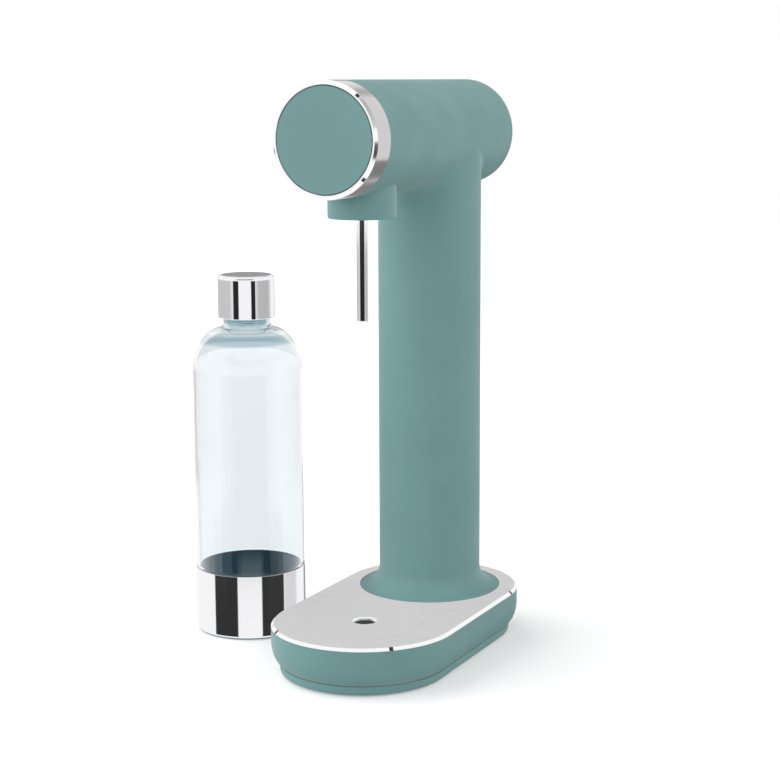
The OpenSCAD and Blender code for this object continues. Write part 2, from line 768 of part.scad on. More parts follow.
module nozzle_block() {
  color(dark_plastic) difference() {
    translate([0, -reach, 0]) {
      rod(nozzle_r, frame_h, beam_h);
      rod(nozzle_neck_r, frame_h, nozzle_top_h);
    }
    translate([0, -reach, 0]) {
      rod(tube_r + run_gap, frame_h - overrun, pipe_h - tube_seat + fit_gap);
      rod(tube_bore_r, frame_h, pipe_h);
      rod(relief_stem_r + run_gap, pipe_h, nozzle_top_h + overrun);
      axle(pipe_r + run_gap, nozzle_neck_r - pipe_in, nozzle_r, pipe_h);
      axle(pipe_bore_r, 0, nozzle_neck_r, pipe_h);
    }
    at_socket_screws() rod(screw_way_r, frame_h - overrun, beam_h + overrun);
  }
}

module relief_valve() {
  color(brass) translate([0, -reach, 0]) {
    rod(relief_stem_r, nozzle_top_h - relief_stem_h, nozzle_top_h + relief_h);
    translate([0, 0, nozzle_top_h]) cylinder(r = relief_r, h = relief_h / 2, $fn = 6);
    rod(relief_r * relief_cap_share, nozzle_top_h, nozzle_top_h + relief_h);
  }
}

module bottle_socket() {
  color(grey_plastic) difference() {
    translate([0, -reach, 0]) rotate_extrude() polygon([
      [socket_r + 2 * socket_lip, socket_low_h], [collar_in_r - fit_gap, socket_low_h],
      [collar_in_r - fit_gap, frame_h], [tube_r + fit_gap, frame_h], [tube_r + fit_gap, socket_roof_h],
      [socket_r, socket_roof_h], [socket_r, socket_low_h + 2 * socket_lip]]);
    at_socket_screws() {
      rod(screw_way_r, socket_roof_h - overrun, frame_h + overrun);
      rod(screw_head_r + fit_gap, socket_roof_h - overrun, socket_roof_h + screw_head_h);
    }
  }
}

module socket_screws() {
  l = beam_h + beam_t - socket_roof_h - screw_head_h;
  color(steel) at_socket_screws() screw(screw_r, screw_head_r, screw_head_h, socket_roof_h, l);
}

module neck_seal() {
  color(rubber) translate([0, -reach, 0])
    pipe(socket_r - seal_out_gap, seal_in_r, socket_roof_h - seam - seal_t, socket_roof_h - seam);
}

module carbonating_tube() {
  low = collar_h - tube_drop;
  color(polished) translate([0, -reach, 0]) rotate_extrude() polygon([
    [jet_r, low], [tube_r - tube_chamfer, low], [tube_r, low + tube_chamfer], [tube_r, pipe_h - tube_seat],
    [tube_bore_r, pipe_h - tube_seat], [tube_bore_r, low + tube_tip_wall + tube_bore_r],
    [jet_r, low + tube_tip_wall]]);
}

module dial_ring() {
  color(steel) difference() {
    turned() polygon([
      [band_in_r, -band_back_y], [head_r, -band_back_y], [head_r, -band_edge_y],
      [head_r - dial_chamfer, -dial_front_y], [dial_lip_in_r, -dial_front_y],
      [dial_lip_in_r, -hub_front_y + run_gap], [band_in_r, -hub_front_y + run_gap]]);
    for (a = dial_notches) translate([0, 0, head_h]) rotate([0, -a, 0])
      translate([head_r - dial_notch_d, dial_front_y - overrun, -notch_w / 2])
        cube([dial_notch_d + overrun, dial_chamfer + overrun, notch_w]);
  }
}

module dial_disc() {
  front = dial_front_y + disc_sink;
  color(paint) axle(disc_r, front, front + disc_t);
}

module dial_hub() {
  back_y = band_back_y - hub_back_in;
  face_y = hub_front_y + hub_face_t;
  boss_back_y = min(face_y + hub_boss_l, back_y);
  peg_back_y = head_y + bulkhead_in + bulkhead_t - stop_tip;
  color(dark_plastic) difference() {
    union() {
      turned() polygon([
        [0, -hub_front_y], [hub_r, -hub_front_y], [hub_r, -back_y], [hub_r - hub_wall, -back_y],
        [hub_r - hub_wall, -face_y], [0, -face_y]]);
      axle(hub_boss_r, face_y - hub_face_t / 2, boss_back_y);
      translate([0, 0, stop_ring_r]) axle(stop_r, face_y - hub_face_t / 2, peg_back_y);
    }
    axle(shaft_r + run_gap, shaft_front_y - shaft_end_gap, boss_back_y + overrun);
    axle(dial_screw_r + fit_gap, hub_front_y - overrun, shaft_front_y);
    axle(dial_screw_head_r + fit_gap, hub_front_y - overrun, hub_front_y + dial_screw_head_h);
  }
}

module dial_shaft() {
  color(steel) difference() {
    union() {
      axle(shaft_r, shaft_front_y, post_back_y + post_t + shaft_over);
      translate([cam_throw, 0, 0]) axle(cam_r, -cam_l / 2, cam_l / 2);
    }
    axle(dial_screw_r + run_gap, shaft_front_y - overrun, shaft_front_y + dial_screw_l);
  }
}

module dial_screw() {
  head_back = hub_front_y + dial_screw_head_h;
  color(steel) {
    axle(dial_screw_head_r, hub_front_y + run_gap, head_back);
    axle(dial_screw_r, hub_front_y + run_gap, shaft_front_y + dial_screw_l - dial_screw_end_gap);
  }
}

module bottle_body() {
  color(clear) translate(bottle_at) rotate_extrude() polygon(concat(
    [[0, bottle_foot_h]],
    arc_points([bottle_foot_r - bottle_foot_round, bottle_foot_h + bottle_foot_round],
      bottle_foot_round, bottle_foot_round, -90, 0),
    [[bottle_foot_r, foot_cup_h + seam], [bottle_r, foot_cup_h + rim_step],
     [bottle_r, shoulder_h], [bottle_in_r, shoulder_h],
     [bottle_in_r, foot_cup_h + 2 * rim_step], [bottle_foot_r - bottle_wall, foot_cup_h]],
    arc_points([bottle_foot_r - bottle_foot_round, bottle_foot_h + bottle_foot_round],
      bottle_foot_round - bottle_wall, bottle_foot_round - bottle_floor, 0, -90),
    [[0, bottle_foot_h + bottle_floor]]));
}

module bottle_shoulder() {
  color(clear) translate(bottle_at) rotate_extrude() polygon(concat(
    arc_points([neck_r, shoulder_h], bottle_r - neck_r, shoulder_rise, 0, 90),
    [[mouth_r, neck_low_h]],
    arc_points([mouth_r, shoulder_h], bottle_in_r - mouth_r, shoulder_rise - shoulder_wall, 90, 0)));
}

module bottle_neck() {
  color(clear) translate(bottle_at) rotate_extrude() polygon([
    [mouth_r, neck_low_h], [neck_r, neck_low_h], [neck_r, mouth_h - mouth_round],
    [neck_r - mouth_round, mouth_h], [mouth_r, mouth_h]]);
}

module bottle_foot_cup() {
  color(polished) translate(bottle_at) rotate_extrude() polygon(concat(
    [[0, 0]],
    arc_points([foot_cup_r - foot_cup_round, foot_cup_round], foot_cup_round, foot_cup_round, -90, 0),
    [[foot_cup_r, foot_cup_h], [foot_cup_in_r, foot_cup_h]],
    arc_points([foot_cup_r - foot_cup_round, foot_cup_round],
      foot_cup_round - foot_cup_wall, foot_cup_round - foot_cup_wall, 0, -90),
    [[0, foot_cup_wall]]));
}

module cap_shell() {
  color(polished) translate(bottle_at) rotate_extrude() polygon(concat(
    [[cap_r - cap_wall, cap_h], [cap_r - cap_break, cap_h], [cap_r, cap_h + cap_break]],
    arc_points([cap_r - cap_round, cap_top_h - cap_round], cap_round, cap_round, 0, 90),
    [[0, cap_top_h], [0, cap_top_h - cap_wall]],
    arc_points([cap_r - cap_round, cap_top_h - cap_round],
      cap_round - cap_wall, cap_round - cap_wall, 90, 0)));
}

module cap_liner() {
  edge = cap_round - cap_wall - liner_gap;
  color(grey_plastic) translate(bottle_at) rotate_extrude() polygon(concat(
    [[liner_in_r, cap_h + liner_up], [liner_r, cap_h + liner_up]],
    arc_points([liner_r - edge, liner_top_h - edge], edge, edge, 0, 90),
    [[0, liner_top_h], [0, liner_roof_h], [liner_in_r, liner_roof_h]]));
}

module cap_seal() {
  color(rubber) translate(bottle_at) rod(liner_in_r - seal_out_gap, cap_seal_h, cap_seal_h + cap_seal_t);
}

base_body();
base_plinth();
rubber_feet();
base_screws();
top_plate();
drip_cup();
drip_lid();
cylinder_hatch();
hatch_foot();
cylinder_guide();
foot_screws();
column_casing();
head_casing();
spout_collar();
inner_frame();
front_bush();
middle_bush();
rear_bush();
valve_block();
valve_washer();
valve_plunger();
plunger_spring();
gas_cylinder();
gas_valve();
valve_pin();
gas_pipe();
nozzle_block();
relief_valve();
bottle_socket();
socket_screws();
neck_seal();
carbonating_tube();
dial_ring();
dial_disc();
dial_hub();
dial_shaft();
dial_screw();
bottle_body();
bottle_shoulder();
bottle_neck();
bottle_foot_cup();
cap_shell();
cap_liner();
cap_seal();
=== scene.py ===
import math

import bmesh
import bpy
from mathutils import Matrix, Vector


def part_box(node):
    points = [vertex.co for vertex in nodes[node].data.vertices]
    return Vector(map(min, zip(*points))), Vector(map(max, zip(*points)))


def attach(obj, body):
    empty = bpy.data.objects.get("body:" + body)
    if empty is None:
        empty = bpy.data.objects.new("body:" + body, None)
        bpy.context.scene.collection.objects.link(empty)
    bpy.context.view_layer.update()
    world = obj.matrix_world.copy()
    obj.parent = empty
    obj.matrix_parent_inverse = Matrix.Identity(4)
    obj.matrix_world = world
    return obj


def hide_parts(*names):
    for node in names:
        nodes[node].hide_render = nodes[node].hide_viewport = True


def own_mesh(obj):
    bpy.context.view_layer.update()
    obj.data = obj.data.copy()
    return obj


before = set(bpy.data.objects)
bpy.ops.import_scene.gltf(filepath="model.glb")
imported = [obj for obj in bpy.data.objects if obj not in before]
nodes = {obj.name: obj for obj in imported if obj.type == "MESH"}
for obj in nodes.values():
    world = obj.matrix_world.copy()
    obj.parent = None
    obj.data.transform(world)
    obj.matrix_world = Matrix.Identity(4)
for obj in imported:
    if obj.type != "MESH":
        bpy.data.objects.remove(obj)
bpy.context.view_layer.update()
mm = 0.001
print("frame loaded:", len(nodes), "nodes")


# Short ways to add shader nodes and join them
def addNode(tree, kind, **settings):
    node = tree.nodes.new("ShaderNode" + kind)
    for name, value in settings.items():
        setattr(node, name, value)
    return node


def plug(tree, socket, source):
    # A source is another node's output, or a plain value for this input
    if isinstance(source, bpy.types.NodeSocket):
        tree.links.new(source, socket)
    else:
        socket.default_value = source


def calculate(tree, operation, *sources):
    node = addNode(tree, "Math", operation=operation)
    for socket, source in zip(node.inputs, sources):
        plug(tree, socket, source)
    return node.outputs[0]


def vectorMath(tree, operation, *sources):
    node = addNode(tree, "VectorMath", operation=operation)
    for socket, source in zip(node.inputs, sources):
        plug(tree, socket, source)
    return node.outputs["Value" if operation in ("LENGTH", "DOT_PRODUCT") else "Vector"]


def radiusFrom(tree, centre, across):
    # Distance from an axis through the centre; across has ones for the directions square to the axis
    offset = vectorMath(tree, "SUBTRACT", addNode(tree, "TexCoord").outputs["Object"], centre)
    return vectorMath(tree, "LENGTH", vectorMath(tree, "MULTIPLY", offset, across))


def rescale(tree, value, fromLow, fromHigh, toLow=0.0, toHigh=1.0):
    node = addNode(tree, "MapRange", interpolation_type="SMOOTHSTEP")
    for socket, source in zip(node.inputs, (value, fromLow, fromHigh, toLow, toHigh)):
        plug(tree, socket, source)
    return node.outputs[0]


def between(tree, value, low, high, soft):
    # One between two limits and none past them, easing over a soft width on both sides of each
    rising = rescale(tree, value, low - soft, low + soft)
    falling = rescale(tree, value, high - soft, high + soft, 1.0, 0.0)
    return calculate(tree, "MULTIPLY", rising, falling)


def mixColour(tree, factor, first, second):
    node = addNode(tree, "Mix", data_type="RGBA")
    byName = {socket.identifier: socket for socket in node.inputs}
    plug(tree, byName["Factor_Float"], factor)
    plug(tree, byName["A_Color"], first)
    plug(tree, byName["B_Color"], second)
    return next(socket for socket in node.outputs if socket.identifier == "Result_Color")


def greyColour(tree, amount):
    join = addNode(tree, "CombineColor")
    for socket in join.inputs:
        plug(tree, socket, amount)
    return join.outputs[0]


def startGroup(name, takes, gives):
    group = bpy.data.node_groups.new(name, "ShaderNodeTree")
    for label, kind, start in takes:
        socket = group.interface.new_socket(label, in_out="INPUT", socket_type="NodeSocket" + kind)
        socket.default_value = start
    for label, kind in gives:
        group.interface.new_socket(label, in_out="OUTPUT", socket_type="NodeSocket" + kind)
    return group, group.nodes.new("NodeGroupInput").outputs, group.nodes.new("NodeGroupOutput").inputs


def placeGroup(tree, group, values):
    node = addNode(tree, "Group", node_tree=group)
    for label, value in values.items():
        plug(tree, node.inputs[label], value)
    return node.outputs


def startMaterial(name, values):
    material = bpy.data.materials.new(name)
    material.use_nodes = True
    tree = material.node_tree
    shader = tree.nodes["Principled BSDF"]
    for label, value in values.items():
        shader.inputs[label].default_value = value
    return material, tree, shader


def addBump(tree, shader, height, distance, strength=1.0):
    bump = addNode(tree, "Bump")
    bump.inputs["Strength"].default_value = strength
    bump.inputs["Distance"].default_value = distance
    plug(tree, bump.inputs["Height"], height)
    tree.links.new(bump.outputs["Normal"], shader.inputs["Normal"])


softGrainLook = {"cloudScale": 22.0, "cloudDetail": 3.0, "grainDetail": 2.0, "driftFrom": 0.3, "driftTo": 0.7}


def makeSoftGrain(look):
    # Cloudy drift in colour and gloss, and a fine grain for the bump
    group, takes, gives = startGroup("softGrain", [
        ("Colour", "Color", (0.5, 0.5, 0.5, 1)), ("Shade", "Color", (0.4, 0.4, 0.4, 1)),
        ("Grain", "Float", 900.0), ("Low Roughness", "Float", 0.3), ("High Roughness", "Float", 0.4),
    ], [("Colour", "Color"), ("Roughness", "Float"), ("Height", "Float")])
    place = addNode(group, "TexCoord").outputs["Object"]
    cloud = addNode(group, "TexNoise")
    cloud.inputs["Scale"].default_value = look["cloudScale"]
    cloud.inputs["Detail"].default_value = look["cloudDetail"]
    plug(group, cloud.inputs["Vector"], place)
    grain = addNode(group, "TexNoise")
    grain.inputs["Detail"].default_value = look["grainDetail"]
    plug(group, grain.inputs["Vector"], place)
    plug(group, grain.inputs["Scale"], takes["Grain"])
    drift = rescale(group, cloud.outputs[0], look["driftFrom"], look["driftTo"])
    plug(group, gives["Colour"], mixColour(group, drift, takes["Colour"], takes["Shade"]))
    plug(group, gives["Roughness"],
         rescale(group, drift, 0.0, 1.0, takes["Low Roughness"], takes["High Roughness"]))
    plug(group, gives["Height"], grain.outputs[0])
    return group


brushLinesLook = {"detail": 4.0, "breakUp": 0.65, "lineFrom": 0.25, "lineTo": 0.75, "bumpStrength": 0.6}


def makeBrushLines(look):
    # Long fine scratches, by a stretched noise in the given coordinates
    group, takes, gives = startGroup("brushLines", [
        ("Vector", "Vector", (0, 0, 0)), ("Along", "Float", 12.0), ("Across", "Float", 2600.0),
        ("Colour", "Color", (0.6, 0.6, 0.6, 1)), ("Shade", "Color", (0.5, 0.5, 0.5, 1)),
        ("Low Roughness", "Float", 0.25), ("High Roughness", "Float", 0.4),
    ], [("Colour", "Color"), ("Roughness", "Float"), ("Height", "Float")])
    stretch = addNode(group, "CombineXYZ")
    plug(group, stretch.inputs["X"], takes["Across"])
    plug(group, stretch.inputs["Y"], takes["Along"])
    plug(group, stretch.inputs["Z"], takes["Along"])
    place = vectorMath(group, "MULTIPLY", takes["Vector"], stretch.outputs[0])
    lines = addNode(group, "TexNoise")
    lines.inputs["Scale"].default_value = 1.0
    lines.inputs["Detail"].default_value = look["detail"]
    lines.inputs["Roughness"].default_value = look["breakUp"]
    plug(group, lines.inputs["Vector"], place)
    amount = rescale(group, lines.outputs[0], look["lineFrom"], look["lineTo"])
    plug(group, gives["Colour"], mixColour(group, amount, takes["Shade"], takes["Colour"]))
    plug(group, gives["Roughness"],
         rescale(group, amount, 0.0, 1.0, takes["High Roughness"], takes["Low Roughness"]))
    plug(group, gives["Height"], lines.outputs[0])
    return group


def makeRingCoordinates():
    # Distance from an axis plus distance along it, so that brush lines run round
    group, takes, gives = startGroup("ringCoordinates", [
        ("Centre", "Vector", (0, 0, 0)), ("Axis", "Vector", (0, 0, 1)),
    ], [("Vector", "Vector")])
    place = addNode(group, "TexCoord").outputs["Object"]
    offset = vectorMath(group, "SUBTRACT", place, takes["Centre"])
    along = vectorMath(group, "DOT_PRODUCT", offset, takes["Axis"])
    onAxis = addNode(group, "VectorMath", operation="SCALE")
    plug(group, onAxis.inputs[0], takes["Axis"])
    plug(group, onAxis.inputs["Scale"], along)
    flat = vectorMath(group, "SUBTRACT", offset, onAxis.outputs["Vector"])
    across = calculate(group, "ADD", vectorMath(group, "LENGTH", flat), along)
    join = addNode(group, "CombineXYZ")
    plug(group, join.inputs["X"], across)
    plug(group, gives["Vector"], join.outputs[0])
    return group


# Cosines of the angle between a face's normal and the axis: one is a flat end, none a side
chamferLook = {"sideFrom": 0.15, "sideTo": 0.3, "flatFrom": 0.92, "flatTo": 0.98}


def makeChamferMask(look):
    # One on sloping faces and none on the sides; Land is the mask's value on the flat ends
    group, takes, gives = startGroup("chamferMask", [
        ("Axis", "Vector", (0, 0, 1)), ("Land", "Float", 0.0)], [("Mask", "Float")])
    normal = addNode(group, "NewGeometry").outputs["True Normal"]
    slope = calculate(group, "ABSOLUTE", vectorMath(group, "DOT_PRODUCT", normal, takes["Axis"]))
    risen = rescale(group, slope, look["sideFrom"], look["sideTo"])
    fallen = rescale(group, slope, look["flatFrom"], look["flatTo"], 1.0, takes["Land"])
    plug(group, gives["Mask"], calculate(group, "MULTIPLY", risen, fallen))
    return group


# Groups that several finishes share
softGrain = makeSoftGrain(softGrainLook)
brushLines = makeBrushLines(brushLinesLook)
ringCoordinates = makeRingCoordinates()
chamferMask = makeChamferMask(chamferLook)
print("shared shader groups made")


def makeMoulded(name, look):
    # Paint, plastic, rubber and cast metal: drift in colour and gloss with a fine grain
    values = {"Metallic": look.get("metallic", 0.0)}
    if "specular" in look:
        values["Specular IOR Level"] = look["specular"]
    material, tree, shader = startMaterial(name, values)
    out = placeGroup(tree, softGrain, {
        "Colour": (*look["colour"], 1), "Shade": (*look["shade"], 1), "Grain": look["grain"],
        "Low Roughness": look["roughness"][0], "High Roughness": look["roughness"][1]})
    plug(tree, shader.inputs["Base Color"], out["Colour"])
    plug(tree, shader.inputs["Roughness"], out["Roughness"])
    addBump(tree, shader, out["Height"], look["bump"] * mm)
    return material


def makeBrushed(name, look):
    # Steel with straight or turned brush lines, and brighter by its mask where it has a polish
    material, tree, shader = startMaterial(name, {"Metallic": 1.0})
    if "centre" in look:
        ring = placeGroup(tree, ringCoordinates, {"Centre": look["centre"], "Axis": look["axis"]})
        place = ring["Vector"]
    else:
        turn = addNode(tree, "Mapping")
        plug(tree, turn.inputs["Vector"], addNode(tree, "TexCoord").outputs["Object"])
        turn.inputs["Rotation"].default_value = (0, 0, math.radians(look["turn"]))
        place = turn.outputs["Vector"]
    out = placeGroup(tree, brushLines, {
        "Vector": place, "Along": look["along"], "Across": look["across"],
        "Colour": (*look["colour"], 1), "Shade": (*look["shade"], 1),
        "Low Roughness": look["roughness"][0], "High Roughness": look["roughness"][1]})
    colour, roughness = out["Colour"], out["Roughness"]
    if "polish" in look:
        mask = placeGroup(tree, chamferMask, {"Axis": look["axis"], "Land": look["land"]})["Mask"]
        colour = mixColour(tree, mask, colour, (*look["polish"], 1))
        roughness = rescale(tree, mask, 0.0, 1.0, roughness, look["polishRoughness"])
    plug(tree, shader.inputs["Base Color"], colour)
    plug(tree, shader.inputs["Roughness"], roughness)
    addBump(tree, shader, out["Height"], look["bump"] * mm, brushLinesLook["bumpStrength"])
    return material


# Bump heights in mm; a grain, along or across value is the scale of its noise
paintLook = {
    "colour": (0.1635, 0.3205, 0.3185), "shade": (0.1555, 0.308, 0.306), "grain": 1400.0,
    "roughness": (0.42, 0.48), "specular": 0.35, "bump": 0.012,
}
plateLook = {
    "colour": (0.8, 0.8, 0.805), "shade": (0.73, 0.73, 0.735), "turn": 90.0, "axis": (0, 0, 1),
    "along": 14.0, "across": 2400.0, "roughness": (0.3, 0.38), "bump": 0.004,
    "polish": (0.95, 0.95, 0.95), "polishRoughness": 0.12, "land": 0.0,
}
lidLook = dict(plateLook, polish=(0.92, 0.92, 0.92))
ringLook = {
    "colour": (0.62, 0.605, 0.615), "shade": (0.57, 0.555, 0.565), "along": 10.0, "across": 2600.0,
    "roughness": (0.12, 0.18), "bump": 0.004, "polish": (0.98, 0.98, 0.98), "polishRoughness": 0.16,
    "land": 1.0,
}
chromeLook = {
    "colour": (0.93, 0.93, 0.94), "shade": (0.88, 0.88, 0.9), "along": 10.0, "across": 2200.0,
    "roughness": (0.045, 0.075), "bump": 0.003,
}
# Painted shade on the inside of the foot cup: a dark blue-grey colour and duller gloss
innerWallShadeLook = {
    "colour": (0.045, 0.1, 0.14), "roughness": 0.4,
    "rim": 0.3, "rimEnd": 0.6,  # mm inwards from the cup's side, between which the painted shade of the inside sets in
}
plainLooks = {
    "rubber": {"colour": (0.022, 0.022, 0.024), "shade": (0.03, 0.03, 0.03), "grain": 2500.0,
               "roughness": (0.6, 0.75), "bump": 0.04},
    "fasteners": {"colour": (0.5, 0.49, 0.47), "shade": (0.42, 0.41, 0.4), "grain": 1800.0,
                  "roughness": (0.3, 0.42), "bump": 0.01, "metallic": 1.0},
    "inner_steel": {"colour": (0.55, 0.55, 0.56), "shade": (0.45, 0.45, 0.47), "grain": 1500.0,
                    "roughness": (0.32, 0.48), "bump": 0.015, "metallic": 1.0},
    "gas_aluminium": {"colour": (0.72, 0.73, 0.75), "shade": (0.62, 0.63, 0.66), "grain": 1200.0,
                      "roughness": (0.35, 0.5), "bump": 0.02, "metallic": 1.0},
    "brass": {"colour": (0.66, 0.46, 0.2), "shade": (0.55, 0.36, 0.15), "grain": 1400.0,
              "roughness": (0.26, 0.4), "bump": 0.01, "metallic": 1.0},
    "grey_plastic": {"colour": (0.11, 0.115, 0.12), "shade": (0.09, 0.095, 0.1), "grain": 1900.0,
                     "roughness": (0.42, 0.52), "bump": 0.03},
    "dark_plastic": {"colour": (0.03, 0.031, 0.033), "shade": (0.045, 0.046, 0.048), "grain": 1900.0,
                     "roughness": (0.4, 0.52), "bump": 0.03},
    "pale_silicone": {"colour": (0.55, 0.6, 0.62), "shade": (0.5, 0.55, 0.58), "grain": 1500.0,
                      "roughness": (0.45, 0.55), "bump": 0.02},
}

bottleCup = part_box("bottle_foot_cup")
bottleAxis = ((bottleCup[0] + bottleCup[1]) / 2).to_2d()
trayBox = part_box("drip_lid")
trayCentre = ((trayBox[0] + trayBox[1]) / 2).to_2d()
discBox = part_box("dial_disc")
dialCentre = (discBox[0] + discBox[1]) / 2

paint = makeMoulded("paint", paintLook)
# The disc's paint; edge is the colour of the painted shadow line round its rim
discLook = dict(paintLook, edge=(0.015, 0.028, 0.028), gapShadeWidth=0.55, gapShadeSoft=0.1)


def makeDiscPaint(look):
    # The paint of the body, with a painted shadow line round the disc's rim where it drops into its ring
    material = makeMoulded("discPaint", look)
    tree = material.node_tree
    shader = tree.nodes["Principled BSDF"]
    painted = shader.inputs["Base Color"].links[0].from_socket
    radius = radiusFrom(tree, dialCentre, (1, 0, 1))
    rim = (discBox[1].x - discBox[0].x) / 2 - look["gapShadeWidth"] * mm
    # Painted shade: the rim of the disc turns dark, standing for the shadow in the gap to the ring
    edge = rescale(tree, radius, rim - look["gapShadeSoft"] * mm, rim + look["gapShadeSoft"] * mm)
    plug(tree, shader.inputs["Base Color"], mixColour(tree, edge, painted, (*look["edge"], 1)))
    return material


discPaint = makeDiscPaint(discLook)
plateSteel = makeBrushed("brushedPlate", plateLook)
lidSteel = makeBrushed("turnedLid", dict(lidLook, centre=(*trayCentre, 0)))
ringSteel = makeBrushed("turnedRing", dict(ringLook, centre=dialCentre, axis=(0, 1, 0)))
chromeLook = dict(chromeLook, centre=(*bottleAxis, 0), axis=(0, 0, 1))
chrome = makeBrushed("polishedSteel", chromeLook)
plainMaterials = {name: makeMoulded(name, look) for name, look in plainLooks.items()}


def makeCupSteel(look, wall):
    # Polished outside; painted shade within the rim, darker and bluer on all that lies there
    material = makeBrushed("cupSteel", look)
    tree = material.node_tree
    shader = tree.nodes["Principled BSDF"]
    polished = shader.inputs["Base Color"].links[0].from_socket
    smooth = shader.inputs["Roughness"].links[0].from_socket
    radius = radiusFrom(tree, look["centre"], (1, 1, 0))
    outside = (bottleCup[1].x - bottleCup[0].x) / 2
    # Painted shade: one within the rim, where the steel takes the dark inside colour
    inner = rescale(tree, radius, outside - wall["rimEnd"] * mm, outside - wall["rim"] * mm, 1.0, 0.0)
    plug(tree, shader.inputs["Base Color"], mixColour(tree, inner, polished, (*wall["colour"], 1)))
    plug(tree, shader.inputs["Roughness"], rescale(tree, inner, 0.0, 1.0, smooth, wall["roughness"]))
    return material


bottleLook = {
    "colour": (0.868, 0.9, 0.912), "shade": (0.854, 0.888, 0.902), "ior": 1.42,
    # Heights in metres: more tint above the shoulder, partly from the thicker wall and partly painted shade,
    # and a ring of painted shade where it bends, standing for the dark refraction there
    "thickTintAndShade": (0.46, 0.585, 0.635), "thickFrom": 0.236, "thickTo": 0.24,
    "bendShade": (0.5, 0.62, 0.68), "bendLow": 0.2285, "bendHigh": 0.2355, "bendEdge": 0.0014,
    "roughness": (0.0, 0.01), "grain": 60.0, "bump": 0.001, "bumpStrength": 0.5,
}


def makeClearPlastic(look):
    material, tree, shader = startMaterial("clearBottle", {
        "Transmission Weight": 1.0, "IOR": look["ior"], "Metallic": 0.0})
    out = placeGroup(tree, softGrain, {
        "Colour": (*look["colour"], 1), "Shade": (*look["shade"], 1), "Grain": look["grain"],
        "Low Roughness": look["roughness"][0], "High Roughness": look["roughness"][1]})
    # The wall thickens towards the neck and carries more of the tint there, darkened further as painted
    # shade; the ring at the bend is painted shade
    place = addNode(tree, "SeparateXYZ")
    plug(tree, place.inputs[0], addNode(tree, "TexCoord").outputs["Object"])
    level = place.outputs["Z"]
    thickTintAndShade = rescale(tree, level, look["thickFrom"], look["thickTo"])
    tinted = mixColour(tree, thickTintAndShade, out["Colour"], (*look["thickTintAndShade"], 1))
    bendShade = between(tree, level, look["bendLow"], look["bendHigh"], look["bendEdge"])
    plug(tree, shader.inputs["Base Color"], mixColour(tree, bendShade, tinted, (*look["bendShade"], 1)))
    plug(tree, shader.inputs["Roughness"], out["Roughness"])
    addBump(tree, shader, out["Height"], look["bump"] * mm, look["bumpStrength"])
    return material


cupSteel = makeCupSteel(chromeLook, innerWallShadeLook)
clearPlastic = makeClearPlastic(bottleLook)
print("finishes made")

# Which finish each solid wears
nodeFinishes = {
    paint: ["base_body", "base_plinth", "column_casing", "head_casing", "spout_collar"],
    discPaint: ["dial_disc"],
    plateSteel: ["top_plate"],
    lidSteel: ["drip_lid"],
    ringSteel: ["dial_ring"],
    cupSteel: ["bottle_foot_cup"],
    chrome: ["cap_shell", "carbonating_tube"],
    plainMaterials["rubber"]: ["rubber_feet", "hatch_foot", "valve_washer", "neck_seal"],
    plainMaterials["pale_silicone"]: ["cap_seal", "cap_liner"],
    plainMaterials["fasteners"]: ["base_screws", "foot_screws", "socket_screws", "dial_screw"],
    plainMaterials["inner_steel"]: ["inner_frame", "valve_plunger", "plunger_spring", "valve_pin",
                                    "gas_pipe", "dial_shaft"],
    plainMaterials["gas_aluminium"]: ["gas_cylinder"],
    plainMaterials["brass"]: ["gas_valve", "valve_block", "relief_valve"],
    plainMaterials["grey_plastic"]: ["cylinder_hatch", "cylinder_guide", "drip_cup", "bottle_socket",
                                     "nozzle_block"],
    plainMaterials["dark_plastic"]: ["front_bush", "middle_bush", "rear_bush", "dial_hub"],
    clearPlastic: ["bottle_body", "bottle_shoulder", "bottle_neck"],
}
for finish, names in nodeFinishes.items():
    for name in names:
        if not nodes[name].material_slots:
            nodes[name].data.materials.append(finish)
        for slot in nodes[name].material_slots:
            slot.material = finish
bare = set(nodes) - {name for names in nodeFinishes.values() for name in names}
print("solids dressed, left over:", sorted(bare))


def makeObject(name, mesh, finish, body):
    # Places a mesh in the scene, on its moving body and in its material slot
    piece = bpy.data.objects.new(name, mesh)
    bpy.context.scene.collection.objects.link(piece)
    mesh.materials.append(finish)
    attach(piece, body)
    return piece


def arcPoints(centre, radii, start, end, steps):
    # Points (radius, height) on an ellipse's arc, angles in degrees
    angles = [math.radians(start + (end - start) * i / steps) for i in range(steps + 1)]
    return [(centre[0] + radii[0] * math.cos(a), centre[1] + radii[1] * math.sin(a)) for a in angles]


def finishMesh(name, work, smooth=True, outward=True):
    # Keeps what was built; outward turns every face to the outside of a closed shape
    if outward:
        bmesh.ops.recalc_face_normals(work, faces=work.faces)
    mesh = bpy.data.meshes.new(name)
    work.to_mesh(mesh)
    work.free()
    if smooth:
        mesh.shade_smooth()
    return mesh


def turnedPoint(axis, radius, height, angle):
    # From a radius and a height in mm to a point in metres, turned about an upright axis
    return axis[0] + radius * mm * math.cos(angle), axis[1] + radius * mm * math.sin(angle), height * mm


def joinSections(work, sections):
    # Side faces from each section to the next, and a face over each end
    for before, after in zip(sections, sections[1:]):
        for k in range(len(before)):
            n = (k + 1) % len(before)
            work.faces.new([before[k], before[n], after[n], after[k]])
    work.faces.new(sections[0])
    work.faces.new(list(reversed(sections[-1])))


def addSupports(profile, gap, longRun):
    # Extra points near the ends of long straight runs, so that smooth shading keeps them straight
    points = [profile[0]]
    for first, last in zip(profile, profile[1:]):
        run = math.dist(first, last)
        if run > longRun:
            for share in (gap / run, 1 - gap / run):
                points.append(tuple(a + (b - a) * share for a, b in zip(first, last)))
        points.append(last)
    return points


